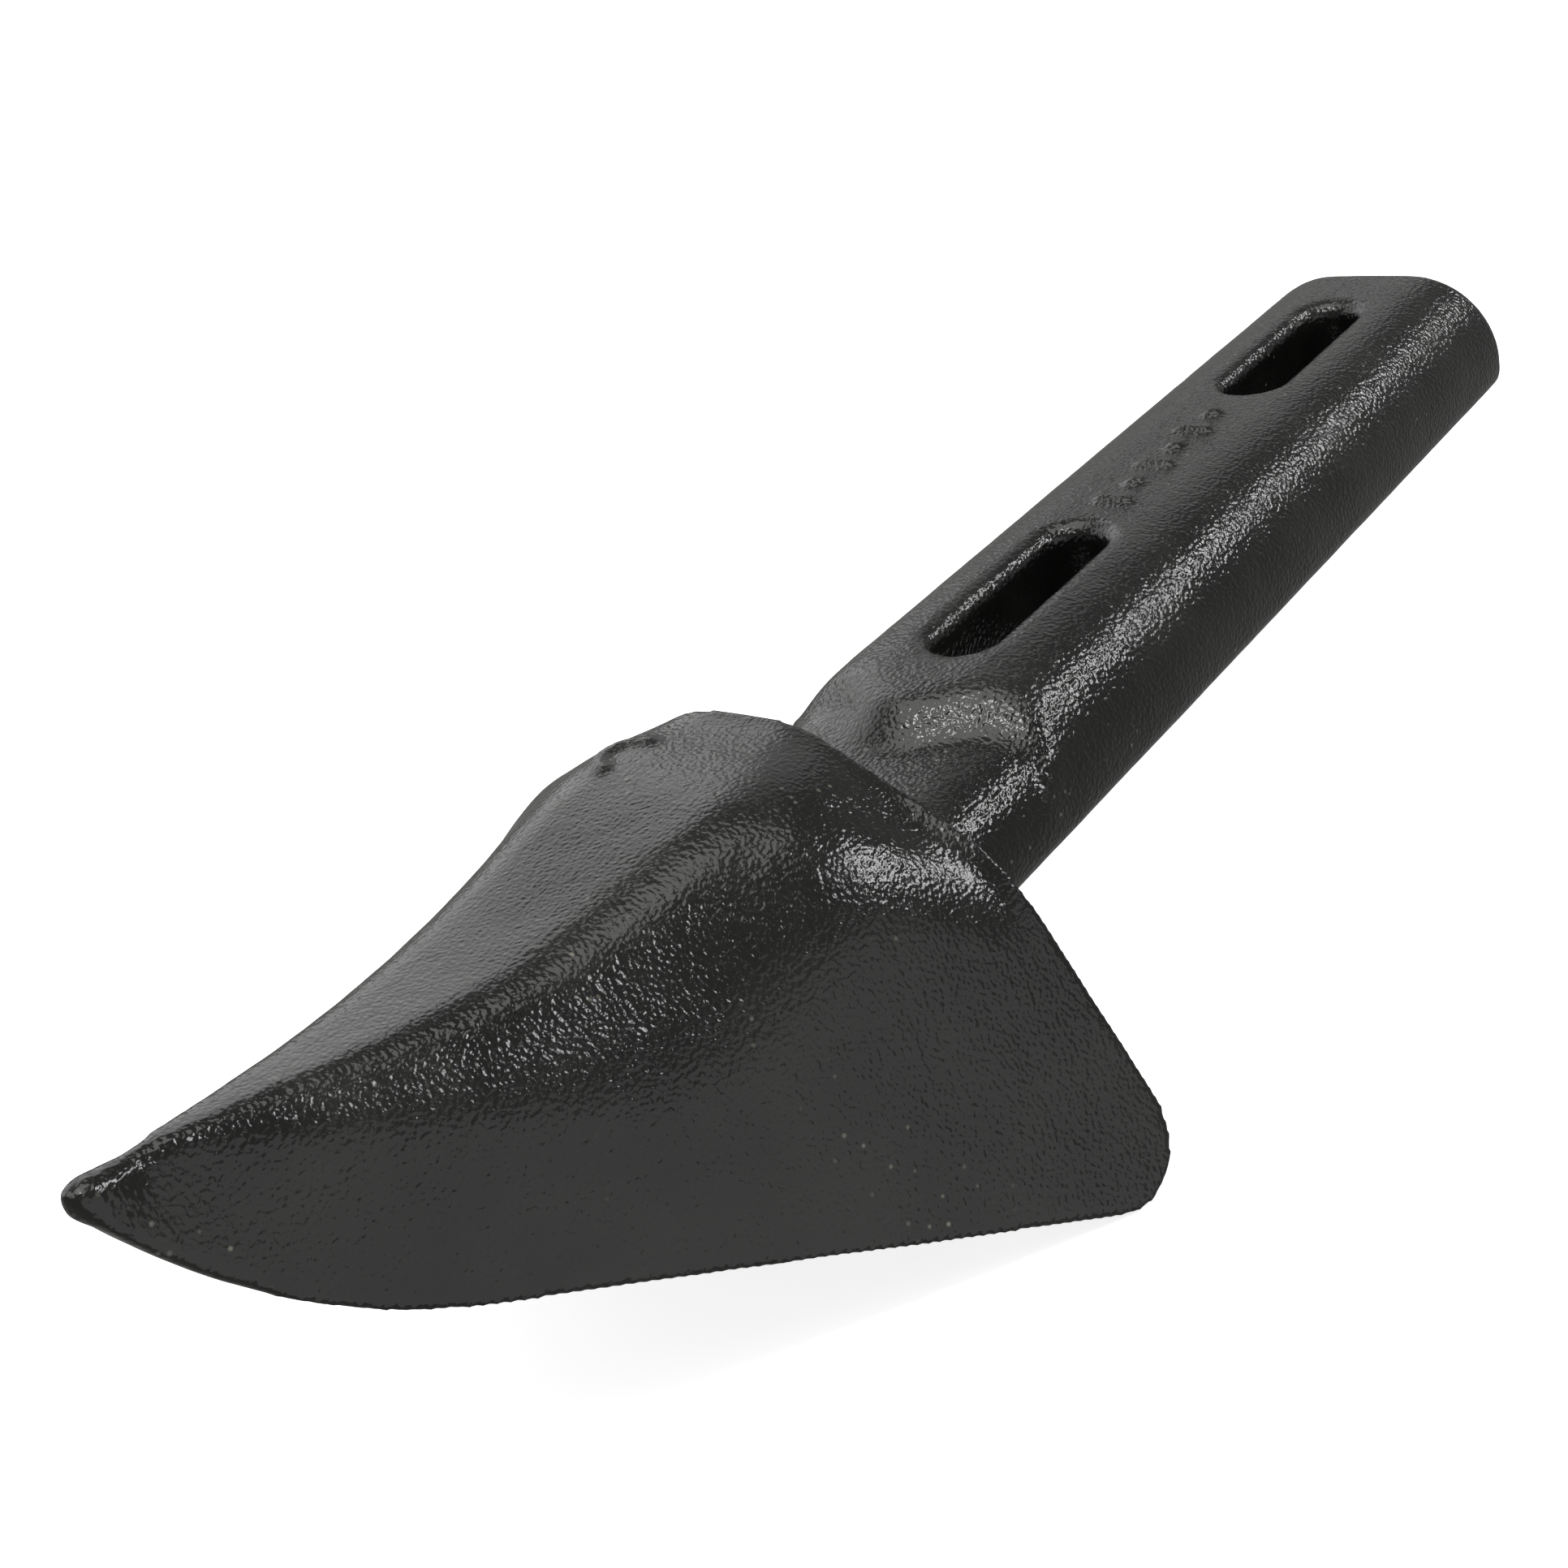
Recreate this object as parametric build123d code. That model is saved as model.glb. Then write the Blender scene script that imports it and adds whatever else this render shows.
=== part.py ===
from build123d import *
from math import cos, radians, sin, tan
import os

# A bolt-on tooth for the edge of a bucket: a hooded point on a slotted shank.
# Millimetres. The origin is the middle of the slot pattern on the shank's mounting face,
# +X runs towards the shank's free end, the point aims along -X, and +Z is up.

# ---- shank -------------------------------------------------------------------
shank_width = 50.8
shank_thickness = 23.5
shank_top_radius = 18.0          # long top corners
shank_bottom_radius = 4.0        # long bottom corners
shank_end_radius = 2.5           # rounding round the free end
slot_spacing = 101.6             # centre to centre
slot_length = 43.5               # end to end
slot_width = 10.3                # clears a 3/8 inch or M10 bolt
slot_lip_radius = 3.4            # cast rounding of each slot's upper edge
end_margin = 39.5                # outer slot centre to the free end
shoulder_margin = 43.9           # inner slot centre to the point of the shoulder, half way down
shoulder_angle = 50.0            # each side of its pointed front to the middle line
shoulder_radius = 4.0            # rounding of that point at the slotted face, seen from above
shoulder_slope = 48.0            # its ramp from the upright
neck_drop = 5.6                  # neck surface below the slotted face
neck_top_radius = 13.0           # long top corners of the neck
neck_length = 24.0               # front of the shoulder to the hood's rim
neck_relief = 0.5                # neck underside above the mounting face
relief_margin = 10.0             # length of that relief behind the rim

# ---- hood --------------------------------------------------------------------
hood_length = 113.0              # rim to the tip
rim_half_width = 37.1            # hood's half width at the rim, level with the slotted face
wing_splay = 0.495               # extra half width for each mm further down
tip_overlap = 2.5                # the side faces, carried on, cross by this much at the tip
tip_half_width = 2.4             # and are blunted to this half width there
tip_blunting = 14                # how suddenly, as a power of the share of the length
tip_rise = 20.6                  # middle of the tip above the slotted face
tip_radius = 2.9
tip_plan_angle = 56.0            # side of the blunt tip to the middle line, from above
skirt_depth = 51.9               # sharp rear corner of the wings below the slotted face
skirt_angle = 26.0               # straight lower edge to the shank
chin_length = 29.0               # length of the curved lower edge behind the tip
wing_corner_radius = 10.0
wing_wall = 9.0
hollow_radius = 5.0
ridge_softness = 0.45            # share of the ridge's half width taken by its rounded edge
slope_softness = 0.30            # and the most of the shoulder slope that it takes
slope_share = 0.60               # most of that slope that the outer rounding takes

# ---- nose, socket and what holds the hood on -----------------------------------
nose_length = 53.0
nose_end_width = 30.0
nose_end_top_drop = 1.5          # nose top at its end below the neck surface
nose_end_lift = 8.0              # nose underside at its end above the mounting face
nose_corner_radius = 4.0
socket_clearance = 0.4
socket_end_gap = 2.0
floor_drop = 4.0                 # underside of the socket floor below the mounting face
bolt_setback = 14.0              # bolt axis in front of the rim
bolt_diameter = 10.0
bolt_hole_clearance = 0.5
thread_clearance = 0.1
head_height = 6.4
head_flats = 16.0
head_crown = 0.5                 # how much the head's corners are turned down, in radius
nut_height = 8.4
nut_flats = 16.0
nut_clearance = 0.3
nut_cover = 0.6                  # nut's top face below the nose surface
flat_washer_radius = 10.0
flat_washer_thickness = 2.0
lock_washer_radius = 8.8
lock_washer_thickness = 2.2
lock_washer_gap = 2.0
bolt_end_chamfer = 0.8
seat_gap = 0.02                  # between faces that bear on each other
pick_tolerance = 0.1             # when edges are picked by their place

# ---- foundry marks --------------------------------------------------------------
mark_height = 0.6
mark_length = 7.0
mark_width = 1.6
mark_pitch = 7.4
mark_count = 6
mark_middle_x = -1.0

# ---- places worked out from the above ---------------------------------------------
end_x = slot_spacing / 2 + end_margin
shoulder_x = -slot_spacing / 2 - shoulder_margin
rim_x = shoulder_x - neck_length
tip_x = rim_x - hood_length
nose_x = rim_x - nose_length
bolt_x = rim_x - bolt_setback
neck_top = shank_thickness - neck_drop
wing_taper = (rim_half_width - wing_splay * tip_rise + tip_overlap) / hood_length
skirt_slope = tan(radians(skirt_angle))

# Stations of the hood from its rim (0) to its tip (1): share of the length, ridge above the
# slotted face, half width of the flat ridge, fall of the shoulder beside it, and how far the
# shoulder's rounding reaches along the wing.
stations = [
    (0.00, 14.3, 8.8, 0.54, 10.5),
    (0.13, 14.6, 14.6, 0.62, 11.0),
    (0.27, 14.2, 14.2, 0.88, 9.0),
    (0.42, 13.1, 12.6, 1.15, 8.0),
    (0.57, 13.9, 9.0, 1.05, 6.5),
    (0.72, 16.6, 4.6, 0.85, 5.0),
    (0.86, 19.8, 1.6, 0.60, 3.6),
    (0.94, 21.5, 0.7, 0.45, 2.6),
    (1.00, 22.6, 0.6, 0.45, 1.4),
]


def across(x):
    """Plane across the length at x: its own x runs along +Y and its own y along +Z."""
    return Plane(origin=(x, 0, 0), x_dir=(0, 1, 0), z_dir=(1, 0, 0))


def side_plane():
    """The upright plane through the middle: its own x runs along +X and its own y along +Z."""
    return Plane(origin=(0, 0, 0), x_dir=(1, 0, 0), z_dir=(0, -1, 0))


def wing_y(x, z):
    """Half width of the hood's flat side face at a place along it and a height."""
    flat_side = rim_half_width + wing_splay * (shank_thickness - z) - wing_taper * (rim_x - x)
    share = max(0, (rim_x - x) / hood_length)
    return flat_side + (tip_half_width + tip_overlap) * share ** tip_blunting


def towards(start, end, distance):
    length = ((end[0] - start[0]) ** 2 + (end[1] - start[1]) ** 2) ** 0.5
    share = distance / length
    return (start[0] + share * (end[0] - start[0]), start[1] + share * (end[1] - start[1]))


def mirrored(point):
    return (-point[0], point[1])


def hood_section(share, ridge, flat, fall, reach):
    """One closed outline across the hood: flat ridge, falling shoulders, splayed sides."""
    x = rim_x - share * hood_length
    top = shank_thickness + ridge
    low = -skirt_depth
    # The shoulder's slope meets the side face at the sharp corner that gets rounded.
    side_at_top = wing_y(x, top)
    corner_drop = fall * (side_at_top - flat) / (1 - fall * wing_splay)
    corner = (wing_y(x, top - corner_drop), top - corner_drop)
    crease = (flat, top)
    slope_length = ((corner[0] - flat) ** 2 + corner_drop ** 2) ** 0.5
    soft = min(ridge_softness * flat, slope_softness * slope_length)
    bottom = (wing_y(x, low), low)
    ridge_end = (flat - soft, top)
    slope_start = towards(crease, corner, soft)
    slope_end = towards(corner, crease, min(reach, slope_share * slope_length))
    wing_start = towards(corner, bottom, reach)
    right = [
        Bezier(ridge_end, crease, slope_start),
        Line(slope_start, slope_end),
        Bezier(slope_end, corner, wing_start),
        Line(wing_start, bottom),
    ]
    left = [
        Line(mirrored(bottom), mirrored(wing_start)),
        Bezier(mirrored(wing_start), mirrored(corner), mirrored(slope_end)),
        Line(mirrored(slope_end), mirrored(slope_start)),
        Bezier(mirrored(slope_start), mirrored(crease), mirrored(ridge_end)),
    ]
    edges = right + [Line(bottom, mirrored(bottom))] + left + [Line(mirrored(ridge_end), ridge_end)]
    return across(x) * make_face(edges)


def skirt_z(x):
    """Height of the straight lower edge at a place along the hood."""
    return shank_thickness - skirt_depth + skirt_slope * (rim_x - x)


def skirt_outline():
    """The hood from the side, with room above it: lower edge, chin, blunt tip and rim."""
    corner = (rim_x, skirt_z(rim_x))
    chin_start = (tip_x + chin_length, skirt_z(tip_x + chin_length))
    tip_z = shank_thickness + tip_rise
    chin_end = (tip_x + tip_radius / 2, tip_z - tip_radius)
    tip_end = (tip_x + tip_radius / 2, tip_z + tip_radius)
    over = shank_thickness + 2 * tip_rise
    setback = wing_corner_radius / tan(radians(90 - skirt_angle) / 2)
    corner_start = (rim_x, corner[1] + setback)
    corner_end = towards(corner, chin_start, setback)
    chin_direction = (-cos(radians(skirt_angle)), sin(radians(skirt_angle)))
    edges = [
        Line((rim_x, over), corner_start),
        TangentArc(corner_start, corner_end, tangent=(0, -1)),
        Line(corner_end, chin_start),
        TangentArc(chin_start, chin_end, tangent=chin_direction),
        ThreePointArc(chin_end, (tip_x, tip_z), tip_end),
        Line(tip_end, (tip_end[0], over)),
        Line((tip_end[0], over), (rim_x, over)),
    ]
    return make_face(edges)


def tip_plan():
    """The hood from above, with room beside it: a round tip that opens at a blunt angle."""
    half_angle = radians(90 - tip_plan_angle)
    centre_x = tip_x + tip_radius
    start = (centre_x - tip_radius * cos(half_angle), tip_radius * sin(half_angle))
    far_y = 2 * skirt_depth
    far = (start[0] + (far_y - start[1]) / tan(radians(tip_plan_angle)), far_y)
    edges = [
        ThreePointArc((start[0], -start[1]), (tip_x, 0), start),
        Line(start, far),
        Line(far, (rim_x + wing_wall, far_y)),
        Line((rim_x + wing_wall, far_y), (rim_x + wing_wall, -far_y)),
        Line((rim_x + wing_wall, -far_y), (far[0], -far_y)),
        Line((far[0], -far_y), (start[0], -start[1])),
    ]
    return make_face(edges)


def bar_section(x, width, bottom, top, top_radius, bottom_radius):
    """A bar's outline across the length, with its own top and bottom corners."""
    low_left = (-width / 2, bottom)
    low_right = (width / 2, bottom)
    high_right = (width / 2, top)
    high_left = (-width / 2, top)
    outline = make_face(Polyline(low_left, low_right, high_right, high_left, close=True))
    outline = fillet(outline.vertices().group_by(Axis.Y)[-1], top_radius)
    outline = fillet(outline.vertices().group_by(Axis.Y)[0], bottom_radius)
    return across(x) * outline


def nose_shape(growth, extra_length):
    """The tapered nose, or with a growth the socket that it goes into."""
    mouth = bar_section(
        rim_x,
        shank_width + 2 * growth,
        neck_relief - growth,
        neck_top + growth,
        neck_top_radius + growth - neck_relief,
        nose_corner_radius + growth - neck_relief,
    )
    end = bar_section(
        nose_x - extra_length,
        nose_end_width + 2 * growth,
        nose_end_lift - growth,
        neck_top - nose_end_top_drop + growth,
        nose_corner_radius + growth - neck_relief,
        nose_corner_radius + growth - neck_relief,
    )
    return loft([mouth, end])


def nose_top(x):
    """Height of the nose's upper face above its middle line."""
    return neck_top - (rim_x - x) / nose_length * nose_end_top_drop


def slot_cutter(x):
    """A straight slot right through the bar."""
    return extrude(Pos(x, 0) * SlotOverall(slot_length, slot_width), shank_thickness * 2, both=True)


def plateau_limit():
    """Everything behind the shoulder: bow-shaped from above, sloping down to the neck."""
    half_angle = radians(shoulder_angle)
    run = tan(radians(shoulder_slope))
    far_y = 2 * shank_width
    apex_x = shoulder_x - (shank_thickness - neck_drop / 2) * run / sin(half_angle)
    side_x = apex_x + far_y / tan(half_angle)
    back_x = side_x + end_x - apex_x
    corners = [(apex_x, 0), (side_x, -far_y), (back_x, -far_y), (back_x, far_y), (side_x, far_y)]
    outline = make_face(Polyline(*corners, close=True))
    front = outline.vertices().sort_by(Axis.X)[0]
    outline = fillet(front, shoulder_radius + shank_thickness * run)
    return extrude(outline, shank_thickness + mark_height, taper=shoulder_slope)


def foundry_marks():
    """A plain row of raised bars and dots between the slots."""
    marks = Part()
    for index in range(mark_count):
        x = mark_middle_x + (index - (mark_count - 1) / 2) * mark_pitch
        if index % 2:
            shape = Pos(x, 0) * Circle(mark_width)
        else:
            shape = Pos(x, 0) * SlotOverall(mark_length, mark_width, rotation=90)
        marks += Pos(0, 0, shank_thickness - mark_height) * extrude(shape, 2 * mark_height)
    return marks


def build_shank():
    """Slotted bar, shoulder, neck and tapered nose in one casting."""
    full = bar_section(end_x, shank_width, 0, shank_thickness, shank_top_radius, shank_bottom_radius)
    bar = extrude(full, rim_x - end_x)
    bar = fillet(bar.faces().sort_by(Axis.X)[-1].edges(), shank_end_radius)
    neck = bar_section(rim_x, shank_width, 0, neck_top, neck_top_radius, shank_bottom_radius)
    shank = (bar & plateau_limit()) + extrude(neck, -rim_x - slot_spacing / 2)
    # The neck's underside is relieved so that only the straight bar bears on the bucket.
    relief = Pos(rim_x + relief_margin / 2, 0, 0) * Box(relief_margin, shank_width, 2 * neck_relief)
    shank = shank - relief + nose_shape(0, 0)
    for x in (-slot_spacing / 2, slot_spacing / 2):
        shank = shank - slot_cutter(x)
    shank = fillet(shank.edges().filter_by(slot_lip_edge), slot_lip_radius) + foundry_marks()
    nut_floor = nose_top(bolt_x) - nut_cover - nut_height
    shaft = Pos(bolt_x, 0) * extrude(Circle(bolt_diameter / 2 + bolt_hole_clearance), neck_top)
    pocket_radius = nut_flats / 2 + nut_clearance
    pocket = Pos(bolt_x, 0, nut_floor) * extrude(
        RegularPolygon(pocket_radius, 6, major_radius=False), shank_thickness
    )
    return shank - shaft - pocket


def slot_lip_edge(edge):
    """True for the edges round the slots' upper mouths."""
    box = edge.bounding_box()
    in_slot = max(abs(box.min.Y), abs(box.max.Y)) < slot_width / 2 + pick_tolerance
    along = abs(abs(edge.center().X) - slot_spacing / 2) < slot_length / 2 + pick_tolerance
    return in_slot and along and box.min.Z > shank_thickness / 2


def hood_outside():
    """The hood as a solid block: lofted stations trimmed by its side view, with a round tip."""
    body = loft([hood_section(*station) for station in stations])
    side = extrude(side_plane() * skirt_outline(), 2 * skirt_depth, both=True)
    plan = extrude(tip_plan(), 2 * skirt_depth, both=True)
    return body & side & plan


def skirt_hollow():
    """The space between the wings, below the socket floor and open to the rear."""
    depth = 2 * skirt_depth
    roof = -floor_drop
    front_x = rim_x - (roof - skirt_z(rim_x)) / skirt_slope + wing_wall
    wall = wing_wall * (1 + wing_splay ** 2) ** 0.5

    def outline(x):
        top_half = wing_y(x, roof) - wall
        low_half = wing_y(x, -depth) - wall
        corners = [(-top_half, roof), (top_half, roof), (low_half, -depth), (-low_half, -depth)]
        face = make_face(Polyline(*corners, close=True))
        return across(x) * fillet(face.vertices().group_by(Axis.Y)[-1], hollow_radius)

    return loft([outline(rim_x + wing_wall), outline(front_x)])


def build_cap():
    """Hooded point: crown, wings, chin, socket floor and tip in one casting."""
    cap = hood_outside() - skirt_hollow() - nose_shape(socket_clearance, socket_end_gap)
    hole = Pos(bolt_x, 0, -skirt_depth) * extrude(
        Circle(bolt_diameter / 2 + bolt_hole_clearance), skirt_depth + neck_top / 2
    )
    return cap - hole


def build_flat_washer():
    outer = Circle(flat_washer_radius)
    inner = Circle(bolt_diameter / 2 + bolt_hole_clearance)
    top = -floor_drop - seat_gap
    return Pos(bolt_x, 0, top - flat_washer_thickness) * extrude(outer - inner, flat_washer_thickness)


def build_lock_washer():
    """A split spring washer, cut through once at the front."""
    outer = Circle(lock_washer_radius)
    inner = Circle(bolt_diameter / 2 + thread_clearance)
    cut = Pos(-lock_washer_radius, 0) * Rectangle(2 * lock_washer_radius, lock_washer_gap)
    top = -floor_drop - 2 * seat_gap - flat_washer_thickness
    ring = extrude(outer - inner - cut, lock_washer_thickness)
    return Pos(bolt_x, 0, top - lock_washer_thickness) * ring


def build_bolt():
    """Hex head screw, put in from below through the socket floor and the nose."""
    seat = -floor_drop - 3 * seat_gap - flat_washer_thickness - lock_washer_thickness
    end_z = nose_top(bolt_x) - nut_cover
    corner_radius = head_flats / 2 / cos(radians(30))
    head = extrude(RegularPolygon(head_flats / 2, 6, major_radius=False), -head_height)
    crown = Cone(corner_radius - head_crown, corner_radius + head_height, head_height + head_crown)
    head = head & Pos(0, 0, (head_crown - head_height) / 2) * crown
    shaft = extrude(Circle(bolt_diameter / 2), end_z - seat)
    end_edge = shaft.edges().group_by(Axis.Z)[-1]
    shaft = chamfer(end_edge, bolt_end_chamfer)
    return Pos(bolt_x, 0, seat) * (head + shaft)


def build_nut():
    """Hex nut in its pocket in the nose, kept in by the socket's roof."""
    nut_floor = nose_top(bolt_x) - nut_cover - nut_height
    nut = extrude(RegularPolygon(nut_flats / 2, 6, major_radius=False), nut_height)
    nut = nut - extrude(Circle(bolt_diameter / 2 + thread_clearance), nut_height)
    return Pos(bolt_x, 0, nut_floor + seat_gap) * nut


if __name__ == "__main__":
    os.makedirs("parts", exist_ok=True)
    parts = {
        "shank": build_shank(),
        "point_cap": build_cap(),
        "retaining_bolt": build_bolt(),
        "lock_washer": build_lock_washer(),
        "flat_washer": build_flat_washer(),
        "captive_nut": build_nut(),
    }
    for name, solid in parts.items():
        export_step(solid, f"parts/{name}.step")
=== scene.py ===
# %% [markdown]
# A bolt-on bucket tooth, made ready to look at
#
# The tooth is two sand castings, a hooded point and a slotted shank, joined from below by one
# screw with its nut and washers. The engineering model gives every piece its place and size. Here
# the castings get the soft edges and the grain that sand leaves, everything gets its finish, and
# a pale studio is set up round it. All lengths are in metres unless a name says otherwise.

# %% Load the frame
import math

import bpy
from mathutils import Matrix, Vector


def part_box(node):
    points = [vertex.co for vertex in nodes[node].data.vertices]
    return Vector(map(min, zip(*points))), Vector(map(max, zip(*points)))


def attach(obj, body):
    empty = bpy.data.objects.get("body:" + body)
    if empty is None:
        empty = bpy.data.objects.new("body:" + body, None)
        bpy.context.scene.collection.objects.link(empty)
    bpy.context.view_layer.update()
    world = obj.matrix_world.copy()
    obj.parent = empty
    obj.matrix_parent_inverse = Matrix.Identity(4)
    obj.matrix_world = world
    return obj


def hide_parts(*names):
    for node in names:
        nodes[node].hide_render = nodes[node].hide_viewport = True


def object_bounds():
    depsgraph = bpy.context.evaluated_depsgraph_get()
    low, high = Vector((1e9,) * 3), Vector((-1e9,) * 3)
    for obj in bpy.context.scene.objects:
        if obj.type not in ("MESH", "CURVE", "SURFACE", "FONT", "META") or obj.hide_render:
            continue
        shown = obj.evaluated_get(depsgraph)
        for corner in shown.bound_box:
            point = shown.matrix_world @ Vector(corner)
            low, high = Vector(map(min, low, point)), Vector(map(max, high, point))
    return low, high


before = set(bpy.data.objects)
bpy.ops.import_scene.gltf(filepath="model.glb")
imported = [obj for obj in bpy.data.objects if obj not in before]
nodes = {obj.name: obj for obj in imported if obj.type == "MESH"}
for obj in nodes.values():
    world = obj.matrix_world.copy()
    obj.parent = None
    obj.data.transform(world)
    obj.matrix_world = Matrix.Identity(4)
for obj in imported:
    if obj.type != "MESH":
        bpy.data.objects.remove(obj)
MM = 0.001
cad_low, cad_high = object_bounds()
cad_size_mm = [round((high - low) / MM, 1) for low, high in zip(cad_low, cad_high)]
print("pieces:", ", ".join(sorted(nodes)))
print("overall size in mm:", cad_size_mm)

# %% [markdown]
# Helpers for working on a mesh
#
# A modelling operator acts on whatever is selected, and the imported pieces start out selected.
# So every step begins by letting go of everything and picking one piece, or the corners of one
# piece that pass a test of place. Modifiers are the gentlest way to change a casting's skin:
# each one is added, set and applied in turn, so the finished mesh holds the result and nothing
# is left live.

# %% Helpers for whole pieces
def pick_only(piece):
    bpy.ops.object.select_all(action="DESELECT")
    piece.select_set(True)
    bpy.context.view_layer.objects.active = piece


def apply_modifier(piece, kind, **settings):
    pick_only(piece)
    modifier = piece.modifiers.new(kind.lower(), kind)
    for name, value in settings.items():
        setattr(modifier, name, value)
    bpy.ops.object.modifier_apply(modifier=modifier.name)


def join(piece, other):
    pick_only(piece)
    other.select_set(True)
    bpy.ops.object.join()


def triangles(piece):
    return sum(len(polygon.vertices) - 2 for polygon in piece.data.polygons)


# %% A helper for picking corners by place
def choose_corners(piece, chosen):
    """Enter edit mode with only the corners selected whose place passes the test."""
    pick_only(piece)
    bpy.ops.object.mode_set(mode="EDIT")
    bpy.ops.mesh.select_mode(type="VERT")
    bpy.ops.mesh.select_all(action="DESELECT")
    bpy.ops.object.mode_set(mode="OBJECT")
    for vertex in piece.data.vertices:
        vertex.select = chosen(vertex.co)
    bpy.ops.object.mode_set(mode="EDIT")
    picked = piece.data.total_vert_sel
    print(f"{piece.name}: {picked} of {len(piece.data.vertices)} corners picked")


# %% [markdown]
# Copying a casting
#
# The imported mesh is loose triangles: neighbours don't share corners, so a modifier would tear
# it apart. The copy's doubles are merged first, which closes it into one watertight skin. The
# imported piece itself is never touched.

# %% Copy a casting into a closed mesh
MERGE_DISTANCE = 0.001 * MM


def casting_copy(node, name):
    piece = nodes[node].copy()
    piece.data = nodes[node].data.copy()
    piece.data.materials.clear()
    piece.parent = None
    piece.name = name
    piece.data.name = name
    for key in list(piece.keys()):
        del piece[key]
    bpy.context.scene.collection.objects.link(piece)
    pick_only(piece)
    bpy.ops.object.mode_set(mode="EDIT")
    bpy.ops.mesh.select_all(action="SELECT")
    bpy.ops.mesh.remove_doubles(threshold=MERGE_DISTANCE)
    bpy.ops.object.mode_set(mode="OBJECT")
    print(name, "starts from", triangles(piece), "triangles")
    return piece


point = casting_copy("point_cap", "cast_point")
shank = casting_copy("shank", "cast_shank")

# %% [markdown]
# The gate scar on the hood
#
# Iron runs into a mould through a gate. When the gate is knocked off, a low crescent-shaped
# stump stays on the casting, here on the crown of the hood. It could be drawn with bump alone,
# but it casts a small shadow, so it is real metal: a ring is added, the half nearer the ridge is
# cut away, and the rest is sunk into the crown. The crown gets steeper away from the ridge, so
# the ring is leaned to match the slope a little further out. Remeshing then melts it into the
# casting.

# %% Model the gate scar as half a ring
SCAR_FROM_RIM = 14.6 * MM
SCAR_FROM_RIDGE = 9.1 * MM
SCAR_RADIUS = 4.2 * MM
SCAR_TUBE_RADIUS = 1.3 * MM
SCAR_SINK = 0.55 * MM
TOWARDS_RIDGE = (-0.17, -0.98, 0.0)


def skin_below(x, y):
    """Where a line straight down meets the point's skin, and which way the skin faces there."""
    above, down = Vector((x, y, 1)), Vector((0, 0, -1))
    return point.ray_cast(above, down)[1:3]


scar_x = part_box("point_cap")[1].x - SCAR_FROM_RIM
crown = skin_below(scar_x, SCAR_FROM_RIDGE)[0]
crown_slope = skin_below(scar_x, SCAR_FROM_RIDGE + SCAR_RADIUS / 4)[1]
print("crown under the scar, in mm:", [round(v / MM, 1) for v in crown])


def add_gate_scar():
    bpy.ops.object.select_all(action="DESELECT")
    bpy.ops.mesh.primitive_torus_add(
        location=crown - crown_slope * SCAR_SINK,
        rotation=crown_slope.to_track_quat("Z", "Y").to_euler(),
        major_radius=SCAR_RADIUS,
        minor_radius=SCAR_TUBE_RADIUS,
        major_segments=48,
        minor_segments=16,
    )
    scar = bpy.context.object
    scar.name = "gate_scar"
    bpy.ops.object.mode_set(mode="EDIT")
    bpy.ops.mesh.select_all(action="SELECT")
    bpy.ops.mesh.bisect(plane_co=crown, plane_no=TOWARDS_RIDGE, clear_outer=True, use_fill=True)
    bpy.ops.object.mode_set(mode="OBJECT")
    bpy.ops.object.transform_apply(location=True, rotation=True, scale=True)
    return scar


gate_scar = add_gate_scar()
print("gate scar:", triangles(gate_scar), "triangles")

# %% [markdown]
# The blunt end of the point
#
# Rounding a thin end eats it away. A short chain of small balls is sunk into the tip beforehand,
# as a moulder leaves a little extra metal there, so that after rounding it is still a blunt end
# and the point keeps its length to about half a millimetre.

# %% Add metal at the tip
# Each ball's radius, its middle's distance from the end, and the depth of its top, in mm.
TIP_BALLS_MM = ((2.9, 2.9, 0.0), (3.1, 5.6, 0.9), (2.7, 5.6, 4.2), (3.2, 9.0, 5.0))


def add_blunt_end():
    tip_top = Vector((cad_low.x, 0, cad_high.z))
    for radius, setback, depth in TIP_BALLS_MM:
        place = tip_top + Vector((setback, 0, -depth - radius)) * MM
        bpy.ops.object.select_all(action="DESELECT")
        bpy.ops.mesh.primitive_ico_sphere_add(subdivisions=4, radius=radius * MM, location=place)
        bpy.ops.object.transform_apply(location=True, rotation=True, scale=True)
        join(point, bpy.context.object)
    print("the tip has", len(TIP_BALLS_MM), "balls of extra metal")


join(point, gate_scar)
add_blunt_end()

# %% [markdown]
# The foundry marks on the shank
#
# The raised bars and dots are only 0.6 mm high and would melt away in the rounding too. A pattern
# maker cuts such marks deeper than they should come out. Their top faces are picked by height
# and moved up before the skin is rebuilt.

# %% Deepen the foundry marks
SHANK_TOP = 23.5 * MM
MARK_FLOOR = SHANK_TOP + 0.3 * MM
MARK_RISE = 0.6 * MM


def raise_marks(piece):
    choose_corners(piece, lambda at: at.z > MARK_FLOOR)
    bpy.ops.transform.translate(value=(0, 0, MARK_RISE))
    bpy.ops.object.mode_set(mode="OBJECT")


raise_marks(shank)

# %% [markdown]
# Giving the castings a sand-cast skin
#
# A sand casting has no sharp edges: sand can't hold them. Bevelling each edge by hand would
# take long and would fail where several meet, so the whole skin is rebuilt instead. A voxel
# remesh turns the piece into small even squares and joins what overlaps, a few smoothing passes
# round every edge by about a millimetre, and two layers of displacement press the skin inwards:
# by up to 0.18 mm for the slow waves of rammed sand, and by up to 0.05 mm for its lumps. Pressing
# only inwards keeps the casting inside its real size. Smoothing also fills inside corners by some
# tenths of a millimetre, so the hidden nut dips into the corners at the foot of its pocket.

# %% Rebuild, round and roughen a casting
WAVE_SIZE = 9 * MM
LUMP_SIZE = 2.6 * MM


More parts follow.
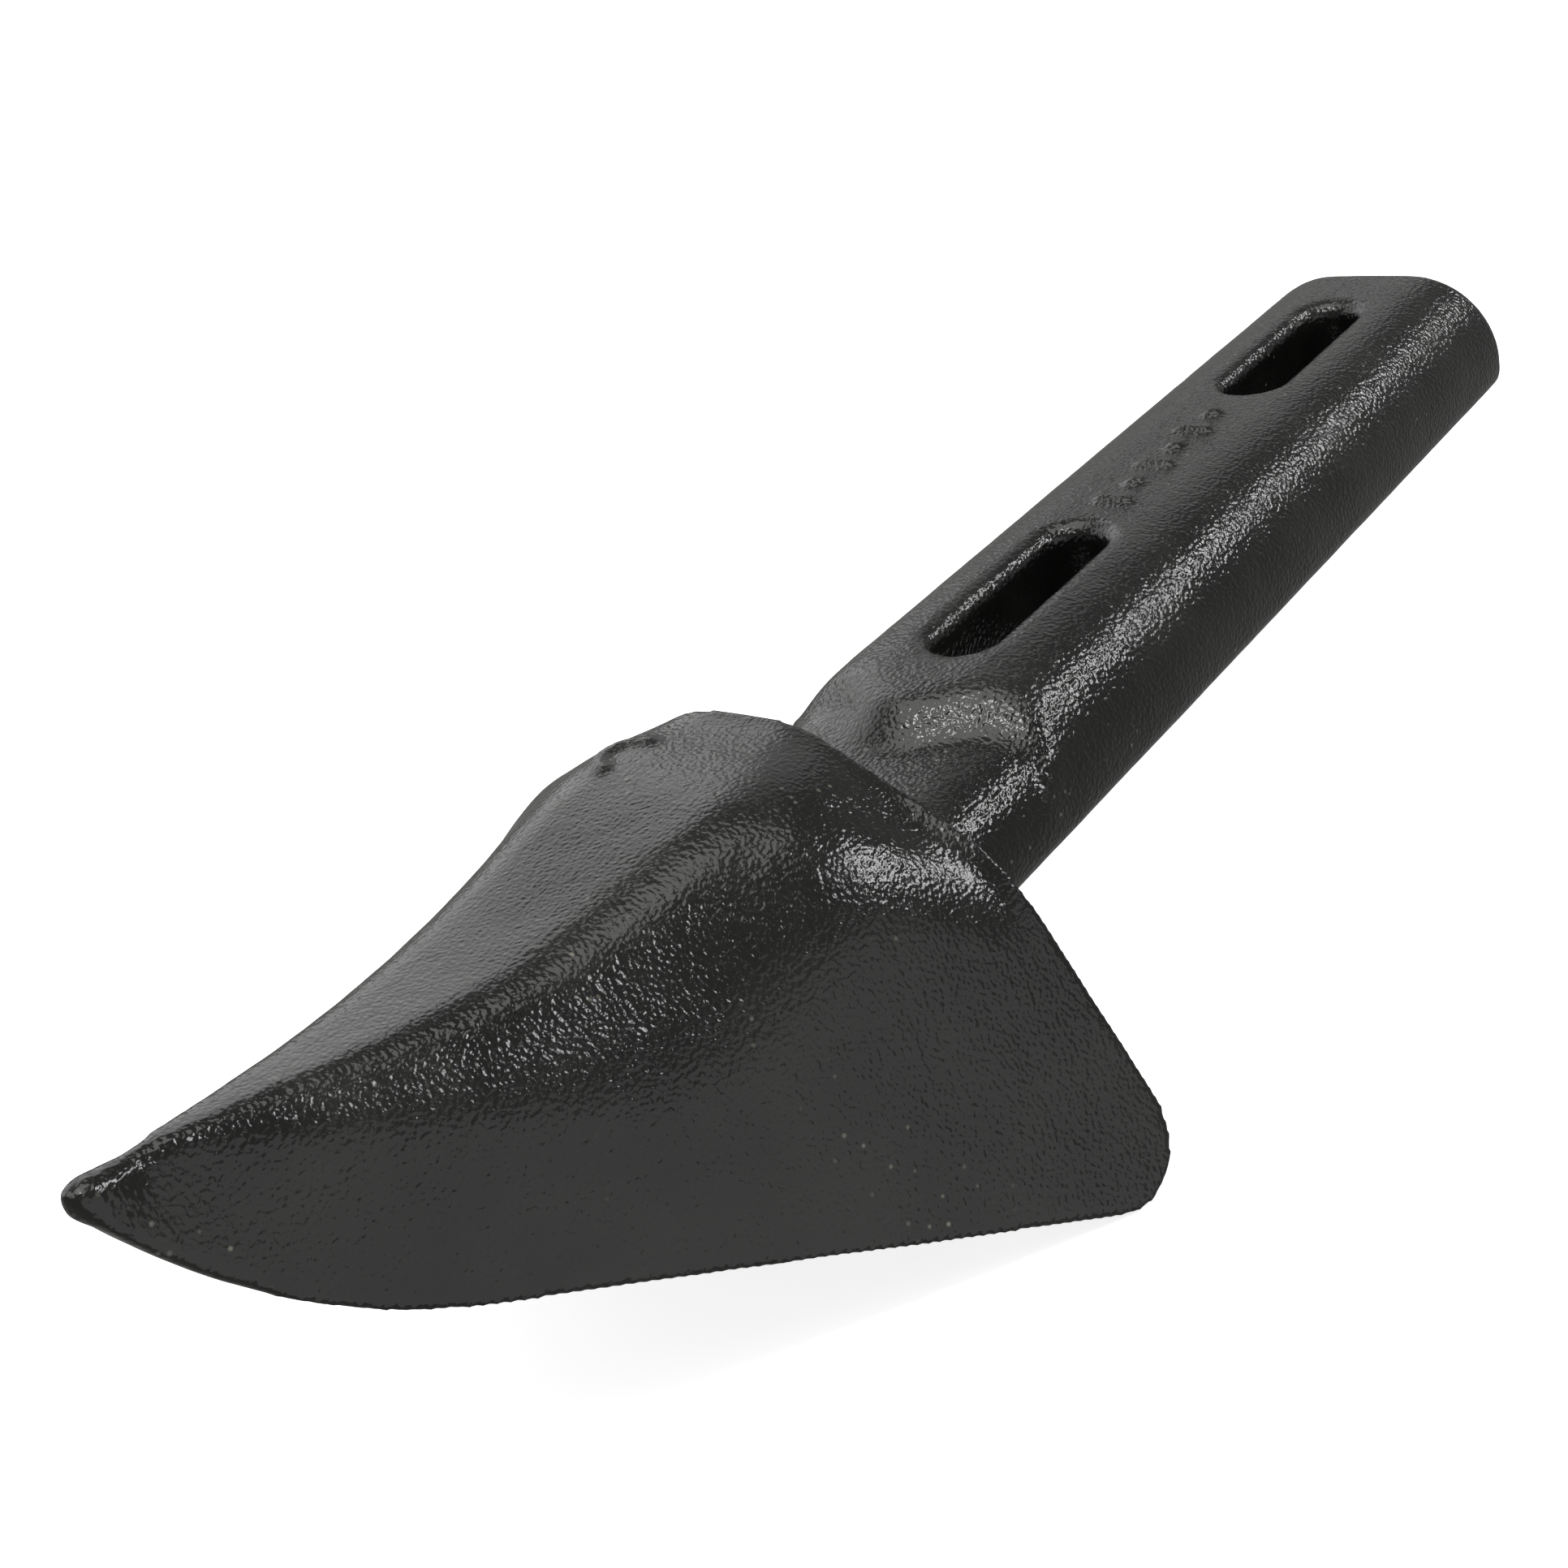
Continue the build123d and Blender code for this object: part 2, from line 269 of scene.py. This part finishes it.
def press_inwards(piece, label, size, depth):
    texture = bpy.data.textures.new(f"{piece.name}_{label}", "CLOUDS")
    texture.noise_scale = size
    texture.noise_depth = 1
    settings = {"texture_coords": "LOCAL", "strength": depth, "mid_level": 1.0}
    apply_modifier(piece, "DISPLACE", texture=texture, **settings)


def sand_cast(piece, voxel, rounding, wave_depth, lump_depth):
    apply_modifier(piece, "REMESH", mode="VOXEL", voxel_size=voxel, adaptivity=0.0)
    apply_modifier(piece, "SMOOTH", factor=0.5, iterations=rounding)
    press_inwards(piece, "wave", WAVE_SIZE, wave_depth)
    press_inwards(piece, "lump", LUMP_SIZE, lump_depth)
    pick_only(piece)
    bpy.ops.object.shade_smooth()
    print(piece.name, "has", triangles(piece), "triangles")


sand_cast(point, voxel=0.65 * MM, rounding=8, wave_depth=0.18 * MM, lump_depth=0.05 * MM)
sand_cast(shank, voxel=0.67 * MM, rounding=6, wave_depth=0.12 * MM, lump_depth=0.05 * MM)

# %% [markdown]
# Two places that are rounder than the rest
#
# The tip, where the balls still show as bumps, and the shoulder, where the slotted bar slopes
# down to the neck, flow more softly than the other edges. Only the corners in those places are
# smoothed again, the shoulder's many times over.

# %% Soften the tip and the shoulder
TIP_REACH = 12 * MM
SHOULDER_START, SHOULDER_END = -104 * MM, -74 * MM
SHOULDER_FLOOR = 14 * MM


def soften(piece, chosen, passes):
    choose_corners(piece, chosen)
    bpy.ops.mesh.vertices_smooth(factor=0.5, repeat=passes)
    bpy.ops.object.mode_set(mode="OBJECT")


def in_tip(at):
    return at.x < cad_low.x + TIP_REACH


def in_shoulder(at):
    return SHOULDER_START < at.x < SHOULDER_END and at.z > SHOULDER_FLOOR


soften(point, in_tip, passes=14)
soften(shank, in_shoulder, passes=45)
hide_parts("point_cap")
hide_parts("shank")

# %% [markdown]
# Writing shader sums in Python
#
# A finish is a sum: noise, plus a mask, times a colour. Dozens of Math nodes are hard to read, so
# a small class wraps one socket and lets the sum be written as it would be on paper. Any other
# node comes from its one method, which sets the node up and returns its first output.

# %% A class for shader sums
class Wire:
    """An output socket. Adding, taking away and multiplying Wires adds Math nodes."""

    def __init__(self, tree, socket=None):
        self.tree = tree
        self.socket = socket

    def node(self, kind, settings=None, inputs=None, output=0):
        made = self.tree.nodes.new(kind)
        for name, value in (settings or {}).items():
            setattr(made, name, value)
        for name, value in (inputs or {}).items():
            if isinstance(value, Wire):
                self.tree.links.new(value.socket, made.inputs[name])
            else:
                made.inputs[name].default_value = value
        return Wire(self.tree, made.outputs[output])

    def maths(self, operation, first, second):
        return self.node("ShaderNodeMath", {"operation": operation}, {0: first, 1: second})

    def __add__(self, other):
        return self.maths("ADD", self, other)

    def __radd__(self, other):
        return self.maths("ADD", other, self)

    def __sub__(self, other):
        return self.maths("SUBTRACT", self, other)

    def __rsub__(self, other):
        return self.maths("SUBTRACT", other, self)

    def __mul__(self, other):
        return self.maths("MULTIPLY", self, other)

    def __rmul__(self, other):
        return self.maths("MULTIPLY", other, self)

    def noise(self, place, size, detail):
        inputs = {"Vector": place, "Scale": 1 / size, "Detail": detail}
        return self.node("ShaderNodeTexNoise", {}, inputs)

    def step(self, low, high):
        inputs = {"Value": self, "From Min": low, "From Max": high}
        return self.node("ShaderNodeMapRange", {"interpolation_type": "SMOOTHSTEP"}, inputs)

    def mix(self, low_colour, high_colour):
        """Go from one colour to the other. A Mix node's colours are its sockets 6, 7 and 2."""
        inputs = {0: self, 6: low_colour, 7: high_colour}
        return self.node("ShaderNodeMix", {"data_type": "RGBA"}, inputs, output=2)


# %% Start and connect a finish
def new_finish(name):
    finish = bpy.data.materials.new(name)
    finish.use_nodes = True
    tree = finish.node_tree
    shader = tree.nodes["Principled BSDF"]
    wire = Wire(tree)
    place = wire.node("ShaderNodeTexCoord", {}, {}, output="Object")
    return finish, shader, wire, place


def connect(finish, shader, colour, roughness, bump):
    links = {"Base Color": colour, "Roughness": roughness, "Normal": bump}
    for socket, value in links.items():
        finish.node_tree.links.new(value.socket, shader.inputs[socket])


# %% [markdown]
# Black paint over a sand-cast skin
#
# The grains of moulding sand leave small uneven swellings under a millimetre across, and the
# paint runs over them as a soft skin. Each swelling mirrors a lamp at one small spot, which is
# why such a casting sparkles along its rounded edges and looks plain on its flats. One plain
# noise with little detail gives the swellings and a much finer and lower one breaks them up.
# The paint is almost black, with a faint film in slow patches, and here and there a scatter of
# pale dust specks. A Voronoi pattern places the specks: each is the small area round the middle
# of a cell. The two castings use the same pattern in different places, and the shank's grain
# is coarser and higher.

# %% Make the two painted finishes
FINE_GRAIN_SIZE = 0.25 * MM
FINE_GRAIN_SHARE = 0.06
FILM_SIZE = 14 * MM
DUST_SIZE = 16 * MM
SPECK_SPACING = 2.6 * MM
BLACK_PAINT = (0.0045, 0.0045, 0.0043, 1)
FILMED_PAINT = (0.0080, 0.0080, 0.0076, 1)
PALE_DUST = (0.105, 0.098, 0.080, 1)


def painted_casting(name, shift, grain_size, grain_height_mm):
    finish, shader, wire, place = new_finish(name)
    place = wire.node("ShaderNodeMapping", {}, {"Vector": place, "Location": shift})

    grain = wire.noise(place, grain_size, detail=0.6)
    fine = wire.noise(place, FINE_GRAIN_SIZE, detail=1.0)
    height = grain * grain_height_mm + fine * (FINE_GRAIN_SHARE * grain_height_mm)
    bump = wire.node("ShaderNodeBump", {}, {"Height": height, "Strength": 1.0, "Distance": MM})

    film = wire.noise(place, FILM_SIZE, detail=3.0).step(0.35, 0.75)
    speck = wire.node("ShaderNodeTexVoronoi", {}, {"Vector": place, "Scale": 1 / SPECK_SPACING})
    dusty = wire.noise(place, DUST_SIZE, detail=1.0).step(0.52, 0.72)
    dust = dusty * (1 - speck.step(0.05, 0.16))
    colour = dust.mix(film.mix(BLACK_PAINT, FILMED_PAINT), PALE_DUST)

    connect(finish, shader, colour, 0.13 + film * 0.06 + fine * 0.04, bump)
    shader.inputs["IOR"].default_value = 1.5
    return finish


cap_paint = painted_casting("point_black_paint", (0.0, 0.0, 0.0), 0.62 * MM, 0.13)
shank_paint = painted_casting("shank_black_paint", (0.31, 0.17, 0.05), 0.70 * MM, 0.21)
print("finishes:", cap_paint.name, shank_paint.name)

# %% [markdown]
# Black-oxide steel for the screw, nut and washers
#
# These are bought-in steel parts, blackened in a hot bath: dark, slightly blue metal with a
# satin face and fine turned marks. A stretched noise gives the turned marks, and a slow one the
# uneven blackening.

# %% Make the fastener finish
TURNED_MARK_SIZE = 0.9 * MM
TURNED_MARK_STRETCH = (1.0, 1.0, 9.0)
BLACKENING_SIZE = 5 * MM
DARK_STEEL = (0.055, 0.057, 0.064, 1)
WORN_STEEL = (0.10, 0.10, 0.108, 1)


def black_oxide(name):
    finish, shader, wire, place = new_finish(name)
    stretch = {"Vector": place, "Scale": TURNED_MARK_STRETCH}
    turned = wire.node("ShaderNodeMapping", {}, stretch)
    marks = wire.noise(turned, TURNED_MARK_SIZE, detail=3.0)
    relief = {"Height": marks, "Strength": 0.35, "Distance": 0.02 * MM}
    bump = wire.node("ShaderNodeBump", {}, relief)
    cloud = wire.noise(place, BLACKENING_SIZE, detail=2.0).step(0.3, 0.7)
    connect(finish, shader, cloud.mix(DARK_STEEL, WORN_STEEL), 0.30 + marks * 0.16, bump)
    shader.inputs["Metallic"].default_value = 0.9
    return finish


fastener_steel = black_oxide("black_oxide_steel")
print("finish:", fastener_steel.name)


# %% Put the finishes on the pieces
def dress(piece, finish):
    piece.data.materials.clear()
    piece.data.materials.append(finish)


castings = ((point, cap_paint, "cap_paint"), (shank, shank_paint, "shank_paint"))
for casting, finish, slot in castings:
    dress(casting, finish)
    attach(casting, "root")
for fastener in ("retaining_bolt", "lock_washer", "flat_washer", "captive_nut"):
    dress(nodes[fastener], fastener_steel)

# %% [markdown]
# The studio
#
# A black gloss part shows its surroundings more than its own colour, so the lamps are chosen for
# what each face should mirror. Three are wide and soft: one overhead for the top, one behind for
# the far side of the crown, and one low on the near side for the upright faces. A weak fourth
# one, beyond the shank's free end, fills in. Three are small and hard: two on the right of the
# near side and one high in front, for the sparkle. The rest is left dim, which keeps the curved
# parts dark. A soft box's brightness is set as its radiance, and its watts follow from its area.

# %% Describe where a lamp stands and how bright it is
SUBJECT = (cad_low + cad_high) / 2


def direction(azimuth, elevation):
    """Unit vector towards an azimuth, from +X towards +Y, and a height above the floor."""
    a, e = math.radians(azimuth), math.radians(elevation)
    return Vector((math.cos(a) * math.cos(e), math.sin(a) * math.cos(e), math.sin(e)))


def soft_box(name, towards, distance, size, radiance, tint=(1, 1, 1)):
    """A lamp towards an azimuth and elevation in degrees, with its width and height."""
    width, height = size
    light = bpy.data.lights.new(name, "AREA")
    light.shape = "RECTANGLE"
    light.size = width
    light.size_y = height
    light.energy = radiance * math.pi * width * height
    light.color = tint
    lamp = bpy.data.objects.new(name, light)
    away = direction(*towards)
    lamp.location = SUBJECT + away * distance
    lamp.rotation_euler = away.to_track_quat("Z", "Y").to_euler()
    bpy.context.scene.collection.objects.link(lamp)
    print(f"{name}: {light.energy:.1f} W")


# %% Set up the lamps and the dim room
CEILING_TINT = (1.0, 1.0, 0.96)
soft_box("overhead", (-160, 84), 1.5, size=(1.5, 1.7), radiance=2.2, tint=CEILING_TINT)
soft_box("behind", (86, 27), 1.6, size=(2.6, 1.4), radiance=1.2)
soft_box("fill", (28, 28), 1.6, size=(1.0, 1.2), radiance=0.36)
soft_box("sparkle_right", (-27, 28), 1.6, size=(0.30, 0.17), radiance=15.0)
soft_box("sparkle_left", (-47, 36), 1.6, size=(0.62, 0.20), radiance=14.5)
soft_box("front", (-126, 67), 1.5, size=(0.24, 0.20), radiance=26.0)
soft_box("left", (-104, 2), 1.5, size=(2.0, 1.5), radiance=0.62)

world = bpy.data.worlds.new("studio")
world.use_nodes = True
backdrop = world.node_tree.nodes["Background"]
backdrop.inputs["Color"].default_value = (1.0, 1.0, 0.98, 1)
backdrop.inputs["Strength"].default_value = 0.25
bpy.context.scene.world = world

# %% [markdown]
# The floor
#
# One plain pale sheet just under the lowest point. The camera below looks down too steeply to
# see its far edge, which does show from a low angle. The sheet glows a little, as a lit paper
# sweep does, and the part doesn't mirror it.

# %% Lay the floor
FLOOR_GAP = 0.2 * MM
FLOOR_WIDTH = 40
bpy.ops.object.select_all(action="DESELECT")
bpy.ops.mesh.primitive_plane_add(size=FLOOR_WIDTH, location=(0, 0, cad_low.z - FLOOR_GAP))
floor = bpy.context.object
floor.name = "floor"
sheet, sheet_shader = new_finish("pale_floor")[:2]
sheet_shader.inputs["Base Color"].default_value = (0.8, 0.8, 0.8, 1)
sheet_shader.inputs["Roughness"].default_value = 0.9
sheet_shader.inputs["Emission Color"].default_value = (1, 1, 1, 1)
sheet_shader.inputs["Emission Strength"].default_value = 0.8
dress(floor, sheet)
floor.visible_glossy = False

# %% [markdown]
# The camera
#
# A medium lens from the front left, looking down on the tooth, and rolled a little so that the
# shank rises steeply to the right.

# %% Place the camera
CAMERA_PLACE = Vector((-303.6, -176.1, 164.6)) * MM
CAMERA_RIGHT = Vector((0.577, -0.788, -0.214)).normalized()
CAMERA_BACK = Vector((-0.642, -0.600, 0.478)).normalized()
CAMERA_UP = CAMERA_BACK.cross(CAMERA_RIGHT).normalized()
LENS_MM = 48.63
SENSOR_MM = 36.0

camera_data = bpy.data.cameras.new("camera")
camera_data.lens = LENS_MM
camera_data.sensor_width = SENSOR_MM
camera_data.clip_start = 0.01
camera = bpy.data.objects.new("camera", camera_data)
camera_axes = Matrix((CAMERA_RIGHT, CAMERA_UP, CAMERA_BACK)).transposed()
camera.matrix_world = Matrix.Translation(CAMERA_PLACE) @ camera_axes.to_4x4()
bpy.context.scene.collection.objects.link(camera)
bpy.context.scene.camera = camera
bpy.context.scene.view_settings.view_transform = "Standard"
print("camera distance in mm:", round((CAMERA_PLACE - SUBJECT).length / MM))
